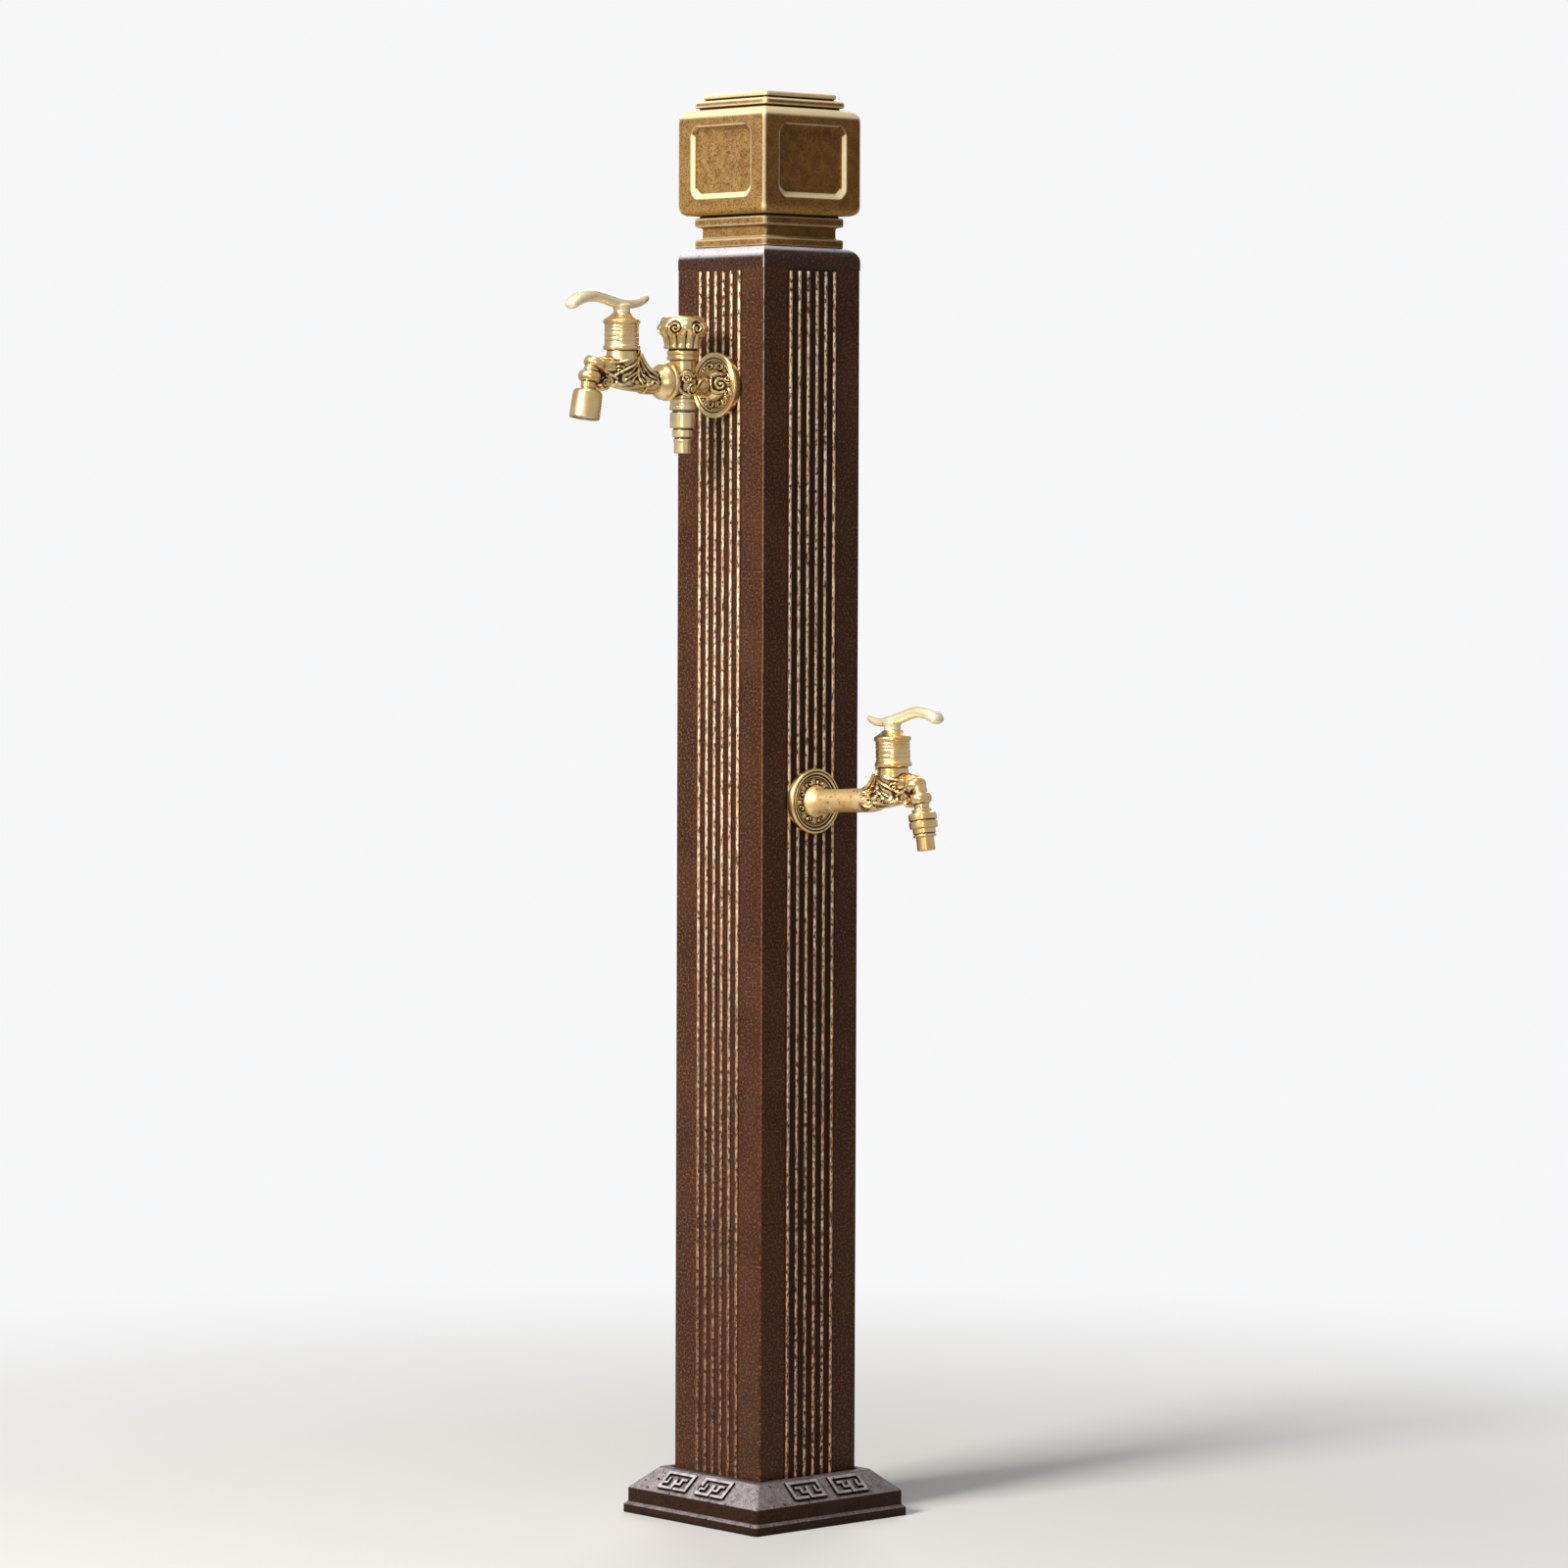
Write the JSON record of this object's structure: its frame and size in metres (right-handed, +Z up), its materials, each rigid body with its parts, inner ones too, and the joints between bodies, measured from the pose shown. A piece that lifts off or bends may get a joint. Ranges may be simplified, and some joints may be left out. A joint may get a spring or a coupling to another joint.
{
  "type": "garden standpipe",
  "caption": "Square ribbed garden water post with a block cap, a plinth cover, a double tap over a single long-nosed lever tap, and hose nozzles.",
  "frame": {"origin": "on the post's axis at ground level, at the middle of the anchor bolts", "axes": "+Z up the post; the upper double tap points along -Y and the lower tap along +X"},
  "size_m": [0.2742, 0.2814, 1.1],
  "materials": {
    "post_paint": "speckled dark brown powder coat, ribs rubbed coppery",
    "shoulder_paint": "brown satin coat",
    "plinth_paint": "brown coat on a casting, silvery sheen on the slopes",
    "cap_bronze": "antique bronze over a sand texture",
    "antique_brass": "polished, dark patina in the carving",
    "plumbing_brass": "turned",
    "galvanised_steel": "galvanised",
    "stainless_steel": "bright",
    "seal_rubber": "matt black",
    "disc_ceramic": "lapped white ceramic",
    "insert_plastic": "moulded"
  },
  "bodies": {
    "root": {"aerator_insert": "insert_plastic", "aerator_shell": "antique_brass", "cap": "cap_bronze", "cap_nut": "galvanised_steel", "cap_tie_rod": "galvanised_steel", "cap_washer": "galvanised_steel", "collar_screws": "stainless_steel", "ground_plate": "galvanised_steel", "inlet_fitting": "plumbing_brass", "inlet_locknut": "plumbing_brass", "knob_bonnet": "antique_brass", "knob_fixed_disc": "disc_ceramic", "knob_headwork": "plumbing_brass", "knob_seat_seal": "seal_rubber", "lower_hose_nozzle": "antique_brass", "lower_lever_bonnet": "antique_brass", "lower_lever_fixed_disc": "disc_ceramic", "lower_lever_headwork": "plumbing_brass", "lower_lever_seat_seal": "seal_rubber", "lower_nozzle_seal": "seal_rubber", "lower_rosette": "antique_brass", "lower_tap_body": "antique_brass", "lower_wall_locknut": "plumbing_brass", "lower_wall_washer": "plumbing_brass", "post": "post_paint", "post_collar": "shoulder_paint", "post_screws": "stainless_steel", "riser_elbow": "plumbing_brass", "riser_lower": "plumbing_brass", "riser_tee": "plumbing_brass", "riser_upper": "plumbing_brass", "union_nut": "antique_brass", "union_seal": "seal_rubber", "upper_hose_nozzle": "antique_brass", "upper_lever_body": "antique_brass", "upper_lever_bonnet": "antique_brass", "upper_lever_fixed_disc": "disc_ceramic", "upper_lever_headwork": "plumbing_brass", "upper_lever_seat_seal": "seal_rubber", "upper_nozzle_seal": "seal_rubber", "upper_rosette": "antique_brass", "upper_tap_body": "antique_brass", "upper_wall_locknut": "plumbing_brass", "upper_wall_washer": "plumbing_brass"},
    "cover": {"base_cover": "plinth_paint"},
    "upper_lever_set": {"upper_lever": "antique_brass", "upper_lever_spindle": "plumbing_brass", "upper_lever_moving_disc": "disc_ceramic", "upper_lever_grub_screw": "stainless_steel"},
    "knob_set": {"flower_knob": "antique_brass", "knob_spindle": "plumbing_brass", "knob_moving_disc": "disc_ceramic", "knob_grub_screw": "stainless_steel"},
    "lower_lever_set": {"lower_lever": "antique_brass", "lower_lever_spindle": "plumbing_brass", "lower_lever_moving_disc": "disc_ceramic", "lower_lever_grub_screw": "stainless_steel"}
  },
  "joints": [
    {"name": "cover_lift", "type": "slide", "parent": "root", "child": "cover", "axis": [0, 0, 1], "range_m": [0, 0.49]},
    {"name": "upper_lever_turn", "type": "hinge", "parent": "root", "child": "upper_lever_set", "pos_m": [0, -0.149, 0.8755], "axis": [0, 0, 1], "range_deg": [0, 90]},
    {"name": "knob_turn", "type": "hinge", "parent": "root", "child": "knob_set", "pos_m": [0, -0.088, 0.8755], "axis": [0, 0, 1], "range_deg": [0, 90]},
    {"name": "lower_lever_turn", "type": "hinge", "parent": "root", "child": "lower_lever_set", "pos_m": [0.1444, 0, 0.56129], "axis": [-0.0454, 0, 0.999], "range_deg": [0, 90]}
  ]
}
